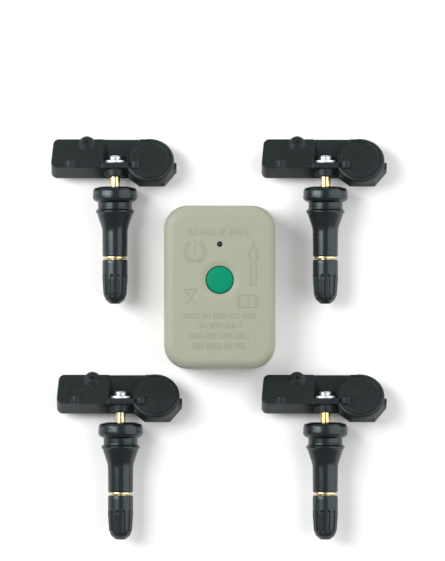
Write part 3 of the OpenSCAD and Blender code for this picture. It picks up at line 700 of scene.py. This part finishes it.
stem_socket = turned("stem_socket", [
    (0, 4), (STEM_HOLE_R, 4), (STEM_HOLE_R, BULKHEAD_Y), (SCREW_HOLE_R, BULKHEAD_Y), (SCREW_HOLE_R, 12),
    (0, 12)], 48)
washer_room = turned("washer_room", [(0, SEAT_Y), (5.2, SEAT_Y), (5.2, 12.85), (0, 12.85)], 64)
seat = drum_turned("seat", [(0, -3.2), (8.6, -3.2), (8.6, -SEAT_T), (LID_R + 0.12, -SEAT_T),
                            (LID_R + 0.12, 2), (0, 2)])
vent = turned("vent", [(0, -1), (VENT_R, -1), (VENT_R, 4), (0, 4)], 24)
leaning(vent, port_place)
sensor_low = (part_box("sensor1_housing")[0].z - ORIGINS["sensor1"].z) / MM
foot = block("foot", (-60, -20, sensor_low - 30), (60, 60, sensor_low))
combine(body, [stem_socket, washer_room, seat, vent, foot], "DIFFERENCE")
print("housing before remesh:", len(body.data.polygons), "faces")

# %% Remesh and relax
VOXEL = 0.25
remesh = body.modifiers.new("even", "REMESH")
remesh.mode = "VOXEL"
remesh.voxel_size = VOXEL * MM
relax = body.modifiers.new("relax", "SMOOTH")
relax.factor = 0.5
relax.iterations = 5
settle(body)
body.data.shade_smooth()
body.name = "shell"
on_every_sensor(body, "sensor_plastic", "", "housing")

# %% [markdown]
# ## The battery lid
# A disc, ultrasonically welded over the coin cell, with a shallow groove near its edge and a
# locating peg that stands level with the bulkhead. Real ones carry moulded codes; a few plain
# raised bars take their place.

# %% Lid, peg and bars
LID_T, LID_PEG_R, BAR_STEP, BAR_L = 1.5, 2.32, 1.3, 0.75
lid = drum_turned("lid", rounded([(0, -LID_T), (LID_R, -LID_T), (LID_R, 0, 0.25), (LID_R - 0.9, 0.0, 0.1),
                                  (LID_R - 1.05, -0.1, 0.1), (LID_R - 1.3, -0.1, 0.1), (LID_R - 1.45, 0, 0.1),
                                  (0, 0.02)], steps=4))
lid_peg = turned("lid_peg", rounded([
    (0, 8.8), (LID_PEG_R, 8.8, 0.45), (LID_PEG_R, 12.2, 0.45), (0, 12.2)]), 48)
lid_peg.data.transform(Matrix.Translation(Vector((9.5, 0, 4.0)) * MM))
combine(lid, [lid_peg], "UNION")
under = leaning(block("under", (-5, -20, -20), (40, 30, -LID_T)))
combine(lid, [under], "DIFFERENCE")
sharpen(lid)
on_every_sensor(lid, "sensor_plastic", "", "battery_lid")
BAR_ROWS = [(4.4, -2.2, 2.6), (3.2, -3.4, 3.8), (-1.6, 0.5, 5.6), (-2.9, 0.5, 5.2)]
bars = []
for y, x0, x1 in BAR_ROWS:
    starts = [DRUM.x + x0 + BAR_STEP * k for k in range(int((x1 - x0) / BAR_STEP))]
    bars += [[(x, DRUM.y + y, 0.0), (x + BAR_L, DRUM.y + y, 0.0)] for x in starts]
lid_bars = raised_lines("lid_bars", bars, 0.13, "sensor_plastic", sides=6)
on_every_sensor(leaning(lid_bars), "sensor_plastic")

# %% [markdown]
# ## Screw and washer
# The clamp screw has a domed head with a six-lobed socket. The star that cuts the socket is a
# circle whose radius rises and falls six times.

# %% Turn them and cut the socket
washer_y = (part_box("sensor1_washer")[0].y - ORIGINS["sensor1"].y) / MM
washer_size = size_mm("sensor1_washer")
screw_high = (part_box("sensor1_clamp_screw")[1].y - ORIGINS["sensor1"].y) / MM
screw_low = (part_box("sensor1_clamp_screw")[0].y - ORIGINS["sensor1"].y) / MM
head_r = size_mm("sensor1_clamp_screw").x / 2
head_y = washer_y + washer_size.y
washer_r, washer_bore, body_r = washer_size.x / 2, 1.6, 1.5
washer = turned("bright_washer", rounded([
    (washer_bore, washer_y, 0.1), (washer_r, washer_y, 0.15), (washer_r, head_y, 0.15),
    (washer_bore, head_y, 0.1)], closed=True), 96, closed=True)
on_every_sensor(washer, "washer_steel", "", "washer")
screw = turned("screw", rounded([
    (0, screw_low), (body_r - 0.4, screw_low, 0.1), (body_r, screw_low + 0.5, 0.1), (body_r, head_y),
    (head_r - 0.1, head_y, 0.15), (head_r, screw_high - 0.7, 0.7), (head_r - 0.9, screw_high, 1.0),
    (0, screw_high)]), 96)
LOBES, STAR_R, LOBE_R, SOCKET_L = 6, 1.32, 0.22, 1.3
star_turns = [2 * math.pi * k / 72 for k in range(72)]
star = [((STAR_R + LOBE_R * math.cos(LOBES * t)) * math.sin(t),
         (STAR_R + LOBE_R * math.cos(LOBES * t)) * math.cos(t)) for t in star_turns]
socket = extruded("socket", star, 0, 3)
to_head = Matrix.Translation(Vector((0, screw_high - SOCKET_L, 0)) * MM)
socket.data.transform(to_head @ Matrix.Rotation(math.radians(-90), 4, "X"))
combine(screw, [socket], "DIFFERENCE")
sharpen(screw)
on_every_sensor(screw, "screw_steel", "", "clamp_screw")

# %% [markdown]
# ## The tool's front shell
# The shell's outline is a rounded rectangle, its front edge a broad fillet, its face very
# slightly crowned, with a shallow dish round the button. One loft makes it: every ring has the
# same number of points, the rings walk up the side, over the fillet and across the face into
# the button's hole, and come back along the inside. Points keep their column all the way, so
# the surface flows without a seam.

# %% Outline and face height
CORNER, EDGE, WALL = 11.0, 4.5, 2.0
HALF_W, HALF_L = tool_size.x / 2, tool_size.y / 2
CROWN, DISH_R, DISH_DEPTH, HOLE_R = 0.3, 9.3, 2.0, 6.48


def outline_columns():
    """Columns of (corner centre, outward direction); straight sides slide the centre along."""
    cx, cy = HALF_W - CORNER, HALF_L - CORNER
    corners = [(cx, cy, 0), (-cx, cy, 90), (-cx, -cy, 180), (cx, -cy, 270)]
    columns = []
    for q, (x, y, start) in enumerate(corners):
        for k in range(21):
            t = math.radians(start + 90 * k / 20)
            columns.append((Vector((x, y)), Vector((math.cos(t), math.sin(t)))))
        nx, ny = corners[(q + 1) % 4][:2]
        t = math.radians(start + 90)
        for k in range(1, 24):
            columns.append((Vector((x + (nx - x) * k / 24, y + (ny - y) * k / 24)),
                            Vector((math.cos(t), math.sin(t)))))
    return columns


def face_drop(x, y):
    """How far the crowned, dished face lies below the tool's top at a point."""
    crown = CROWN * ((x / HALF_W) ** 2 + (y / HALF_L) ** 2)
    reach = math.hypot(x, y - button_y) / DISH_R
    dish = DISH_DEPTH * (1 - reach ** 2) ** 1.5 if reach < 1 else 0
    return crown + dish


# %% Loft the front shell
columns = outline_columns()
bm = bmesh.new()


def outline_ring(inset, z, crowned=1.0):
    ring = []
    for centre, out in columns:
        p = centre + out * (CORNER - inset)
        crown = CROWN * ((p.x / HALF_W) ** 2 + (p.y / HALF_L) ** 2)
        ring.append(bm.verts.new((p.x, p.y, z - crowned * crown)))
    return ring


def face_ring(share, radius, below=0.0):
    """From the fillet's inner edge (share 0) to a circle round the button (share 1)."""
    ring = []
    for centre, out in columns:
        edge = centre + out * (CORNER - EDGE)
        away = edge - Vector((0, button_y))
        circle = Vector((0, button_y)) + away.normalized() * radius
        p = edge.lerp(circle, share)
        ring.append(bm.verts.new((p.x, p.y, tool_top - face_drop(p.x, p.y) - below)))
    return ring


rings = [outline_ring(0.3, tool_split, 0), outline_ring(0.0, tool_split + 0.3, 0)]
side_low, side_high = tool_split + 0.3, tool_top - EDGE
rings += [outline_ring(0, side_low + (side_high - side_low) * k / 6, k / 6) for k in range(1, 7)]
for k in range(1, 13):
    a = math.radians(90 * k / 12)
    rings.append(outline_ring(EDGE * (1 - math.cos(a)), tool_top - EDGE + EDGE * math.sin(a)))
rings += [face_ring(k / 24, DISH_R) for k in range(1, 25)]
rings += [face_ring(1, DISH_R + (HOLE_R + 0.3 - DISH_R) * k / 10) for k in range(1, 11)]
rings.append(face_ring(1, HOLE_R + 0.08, 0.08))
rings.append(face_ring(1, HOLE_R, 0.3))
rings.append(face_ring(1, HOLE_R, WALL - 0.6))
ceiling = tool_top - WALL - 0.9
hole_low = [bm.verts.new((v.co.x, v.co.y, ceiling)) for v in rings[-1]]
rings.append(hole_low)
rings += [outline_ring(EDGE + 0.5, ceiling, 0), outline_ring(WALL, ceiling - 2.5, 0),
          outline_ring(WALL, tool_split, 0)]
skin(bm, rings, closed=True)
front = piece_from("front_shell", bm)
lamp_hole = extruded("lamp_hole", [(1.3 * math.cos(t), lamp_y + 1.3 * math.sin(t)) for t in
                                   [2 * math.pi * k / 48 for k in range(48)]], 15, 40)
combine(front, [lamp_hole], "DIFFERENCE")
sharpen(front)
finish_piece(front, "case_plastic", "tool", "tool_front_shell")
print("front shell faces:", len(front.data.polygons))

# %% [markdown]
# ## Moulded symbols
# The face carries faint raised marks. A plain horseshoe with a bar, an arrow, a crossed sign and
# an open book are drawn as lines; rows of short bars take the place of all wording. Every
# point is set on the crowned face by the same height rule that shaped it.

# %% Draw the symbols on the face
LINE_R, PROUD = 0.35, 0.26


def on_face(points):
    made = []
    for (x0, y0), (x1, y1) in zip(points, points[1:]):
        parts = max(1, round(math.dist((x0, y0), (x1, y1)) / 1.0))
        made += [(x0 + (x1 - x0) * k / parts, y0 + (y1 - y0) * k / parts) for k in range(parts)]
    made.append(points[-1])
    return [(x, y, tool_top - face_drop(x, y) - LINE_R + PROUD) for x, y in made]


def bow(cx, cy, rx, ry, start, stop, steps=16):
    return [(cx + rx * math.cos(math.radians(start + (stop - start) * k / steps)),
             cy + ry * math.sin(math.radians(start + (stop - start) * k / steps))) for k in range(steps + 1)]


shoe_lines = [side for radius, height, low in ((5.15, 5.5, 235), (3.75, 4.3, 238))
              for side in (bow(-11.5, 16.7, radius, height, 122, low),
                           bow(-11.5, 16.7, radius, height, 540 - low, 418))]
shoe_lines += [[(-14.0, 12.6), (-9.0, 12.6)]]
shoe_lines += [[(x, 11.3), (x + 0.3, 12.2)] for x in (-14.1, -12.6, -11.1, -9.6)]
arrow = [(15.6, 21.4), (13.1, 14.0), (14.4, 14.5), (14.4, 1.2), (16.8, 1.2), (16.8, 14.5), (18.1, 14.0),
         (15.6, 21.4)]
book = [[(8.5, -3.9), (8.5, -9.6), (13.0, -9.0), (17.5, -9.6), (17.5, -3.9), (13.0, -3.4), (8.5, -3.9)],
        [(13.0, -3.4), (13.0, -9.0)], [(9.5, -4.9), (9.5, -8.5)], [(16.5, -4.9), (16.5, -8.5)]]
crossed = [[(-16.2, -1.0), (-10.8, -1.0)], [(-15.8, -1.6), (-11.2, -7.8)], [(-11.2, -1.6), (-15.8, -7.8)]]
bar_and_dot = [[(-11.5, 21.6), (-11.5, 16.0)], [(-11.5, 14.6), (-11.5, 14.3)]]
symbols = shoe_lines + bar_and_dot + [arrow] + book + crossed
ROWS = [(25.75, 1.5, -15.0, 13.4), (-13.35, 1.1, -16.3, 16.3), (-17.75, 1.1, -9.1, 9.6),
        (-22.4, 1.25, -14.0, 14.0), (-27.3, 1.4, -12.2, 12.6)]
BAR_PITCH, GROUPS = 1.3, [4, 6, 3, 5]
for row, (y, half, left, right) in enumerate(ROWS):
    x, group, bar = left, row, 0
    while x < right:
        symbols.append([(x, y - half), (x, y + half)])
        bar += 1
        x += BAR_PITCH
        if bar == GROUPS[group % len(GROUPS)]:
            x, group, bar = x + BAR_PITCH * 0.7, group + 1, 0
marks = raised_lines("face_marks", [on_face(line) for line in symbols], LINE_R, "case_plastic", sides=8)
finish_piece(marks, "case_plastic", "tool")
print("marks:", len(symbols), "lines,", len(marks.data.polygons), "faces")

# %% [markdown]
# ## Button, lamp and screws
# The button is a low dome that sits in the dish with a dark gap round it. The lamp is a smoked
# rod behind its hole. The four case screws are one shape laid on four points by the second tree.

# %% Button and lamp
button_r, plunger_r, lip_t = 6.16, 1.8, 0.7
lip_r = button_r + 1.2
crown_z = button_high.z / MM
shaft_z = button_low.z / MM
flange_z = tool_top - WALL - 1.0
spin_up = Matrix.Translation(Vector((0, button_y, 0)) * MM) @ upright
button = turned("button", rounded([
    (0, shaft_z), (plunger_r, shaft_z, 0.2), (plunger_r, flange_z), (lip_r, flange_z, 0.15),
    (lip_r, flange_z + lip_t, 0.15), (button_r, flange_z + lip_t), (button_r, crown_z - 0.95, 0.3),
    (button_r - 0.5, crown_z - 0.35, 1.2), (button_r * 0.55, crown_z - 0.05, 8), (0, crown_z)], steps=6), 128)
button.data.transform(spin_up)
finish_piece(button, "button_plastic", "button", "tool_green_button")
lamp_top = lamp_high.z / MM
lamp_foot, lamp_r = lamp_low.z / MM, 1.25
lamp = turned("lamp_lens", rounded([(0, lamp_foot), (lamp_r, lamp_foot), (lamp_r, lamp_top - 0.4, 0.4),
                                    (lamp_r - 0.45, lamp_top, 0.8), (0, lamp_top)]), 48)
lamp.data.transform(Matrix.Translation(Vector((0, lamp_y, 0)) * MM) @ upright)
finish_piece(lamp, "lamp_lens", "tool", "tool_lamp_lens")

# %% Case screws
screws_low, screws_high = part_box("tool_case_screws")
HEAD_R, SHANK, HEAD_T = 2.5, 1.25, 1.4
low_z, high_z = screws_low.z / MM, screws_high.z / MM
one = turned("one_screw", rounded([
    (0, low_z), (HEAD_R, low_z, 0.35), (HEAD_R, low_z + HEAD_T, 0.1), (SHANK, low_z + HEAD_T),
    (SHANK, high_z - 1), (0, high_z)]), 64)
one.data.transform(upright)
cross = [block("slot_a", (-1.6, -0.35, low_z - 1), (1.6, 0.35, low_z + 0.9)),
         block("slot_b", (-0.35, -1.6, low_z - 1), (0.35, 1.6, low_z + 0.9))]
combine(one, cross, "DIFFERENCE")
sharpen(one)
post_x = screws_high.x / MM - HEAD_R
post_y = screws_high.y / MM - HEAD_R
screws = copies("case_screws", one, [(sx * post_x, sy * post_y, 0) for sx in (-1, 1) for sy in (-1, 1)],
                "screw_steel")
finish_piece(screws, "screw_steel", "tool", "tool_case_screws")

# %% [markdown]
# ## The aerial's winding
# Inside the tool a ferrite rod wound with copper wire sends the low-frequency call that wakes a
# sensor. The winding is a helix again, laid turn against turn by the raised-line tree.

# %% Wind the coil
coil_low, coil_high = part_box("tool_antenna_coil")
coil_r = (coil_high.z - coil_low.z) / 2 / MM
rod_r = size_mm("tool_ferrite_rod").z / 2
coil_centre = (coil_low + coil_high) / 2 / MM
coil_half = (coil_high.x - coil_low.x) / 2 / MM
WIRE_R = 0.24
winding = []
for layer, r in enumerate((rod_r + 0.3, coil_r - WIRE_R)):
    count = int((coil_half * 2 - 0.6) / (2.1 * WIRE_R)) * 24
    line = []
    for k in range(count + 1):
        angle = 2 * math.pi * k / 24
        along = -coil_half + 0.3 + (coil_half * 2 - 0.6) * k / count
        line.append((coil_centre.x + along, coil_centre.y + r * math.cos(angle),
                     coil_centre.z + r * math.sin(angle)))
    winding.append(line)
coil = raised_lines("antenna_winding", winding, WIRE_R, "copper_wire", sides=6)
finish_piece(coil, "copper_wire", "tool", "tool_antenna_coil")

# %% [markdown]
# ## Pieces kept from the CAD model
# What lies inside, and the plain back of the tool, keep their CAD shape. Each gets the finish
# of its slot.

# %% Finish the CAD nodes
slot_of = {s["node"]: s["material_slot"] for s in frame["record"]["subparts"]}
kept = 0
for name, node in frame["nodes"].items():
    if not node.hide_render:
        node.data.materials.clear()
        node.data.materials.append(FINISH[slot_of[name]])
        kept += 1
print("CAD nodes shown:", kept)
